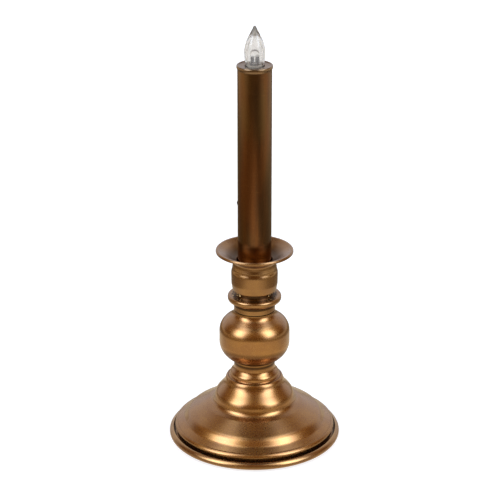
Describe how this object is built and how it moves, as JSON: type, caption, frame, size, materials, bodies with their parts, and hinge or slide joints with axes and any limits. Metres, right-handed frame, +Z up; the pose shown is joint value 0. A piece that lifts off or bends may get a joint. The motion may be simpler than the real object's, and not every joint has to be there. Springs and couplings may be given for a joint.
{
  "type": "led candle holder",
  "caption": "Battery window candle: a clear flame-shaped bulb on a slim metal tube, held by a drip pan, a cup, a turned stem and a domed round foot.",
  "frame": {"origin": "under the middle of the foot, on the surface it stands on", "axes": "+Z up along the candle, -Y towards the picture's viewer, -X to the side of the light sensor"},
  "size_m": [0.0984, 0.0984, 0.2448],
  "materials": {
    "bronze": "antique bronze plating, satin, finely speckled",
    "dark_bronze": "dark antique bronze plating, satin",
    "steel": "zinc plated",
    "brass": "bright",
    "black_plastic": "moulded, fine grain",
    "white_plastic": "moulded, smooth",
    "rubber": "matt",
    "lens": "clear",
    "board": "green lacquered board",
    "sensor": "dark tinted, glossy",
    "cell": "plain coloured sleeve over a metal can",
    "wire_red": "smooth insulation",
    "wire_black": "smooth insulation"
  },
  "bodies": {
    "lamp": {"foot_ring": "bronze", "base_dome": "bronze", "battery_tray": "black_plastic", "rubber_foot_1": "rubber", "rubber_foot_2": "rubber", "rubber_foot_3": "rubber", "rubber_foot_4": "rubber", "tray_screw_1": "steel", "tray_screw_2": "steel", "tray_screw_3": "steel", "tray_screw_4": "steel", "battery_cell_1": "cell", "battery_cell_2": "cell", "battery_cell_3": "cell", "battery_spring_1": "steel", "battery_spring_2": "steel", "battery_spring_3": "steel", "contact_plate_positive": "steel", "contact_plate_negative": "steel", "contact_bridge_1": "steel", "contact_bridge_2": "steel", "switch_housing": "black_plastic", "stem_collar": "bronze", "stem_ball": "bronze", "stem_ring": "bronze", "candle_cup": "bronze", "drip_pan": "bronze", "tie_rod": "steel", "rod_washer": "steel", "rod_nut_lower": "steel", "rod_nut_upper": "steel", "tube_foot": "white_plastic", "candle_tube": "dark_bronze", "tube_cap": "bronze", "circuit_board": "board", "light_sensor": "sensor", "timer_chip": "black_plastic", "socket_body": "white_plastic", "socket_shell": "brass", "contact_spring": "steel", "wire_battery_board": "wire_black", "wire_battery_switch": "wire_red", "wire_switch_board": "wire_red", "wire_lamp_1": "wire_black", "wire_lamp_2": "wire_red"},
    "battery_door": {"battery_door": "black_plastic"},
    "switch_knob": {"switch_knob": "white_plastic"},
    "contact_plunger": {"contact_plunger": "brass"},
    "bulb": {"bulb_shell": "brass", "bulb_insulator": "black_plastic", "bulb_contact": "brass", "bulb_plug": "white_plastic", "bulb_lens": "lens", "lamp_body": "lens", "lamp_anode": "steel", "lamp_cathode": "steel"}
  },
  "joints": [
    {"name": "door_hinge", "type": "hinge", "parent": "lamp", "child": "battery_door", "pos_m": [0, -0.024, 0.0015], "axis": [-1, 0, 0], "range_deg": [0, 95]},
    {"name": "switch_slide", "type": "slide", "parent": "lamp", "child": "switch_knob", "axis": [1, 0, 0], "range_m": [-0.002, 0.002]},
    {"name": "bulb_rise", "type": "slide", "parent": "lamp", "child": "contact_plunger", "axis": [0, 0, 1], "range_m": [0, 0.00181], "deforming": ["contact_spring"]},
    {"name": "bulb_turn", "type": "hinge", "parent": "contact_plunger", "child": "bulb", "pos_m": [0, 0, 0.2196], "axis": [0, 0, 1], "range_deg": [0, 360]}
  ],
  "couplings": [
    {"joint": "bulb_turn", "follows": "bulb_rise", "rad_per_m": 3471}
  ]
}
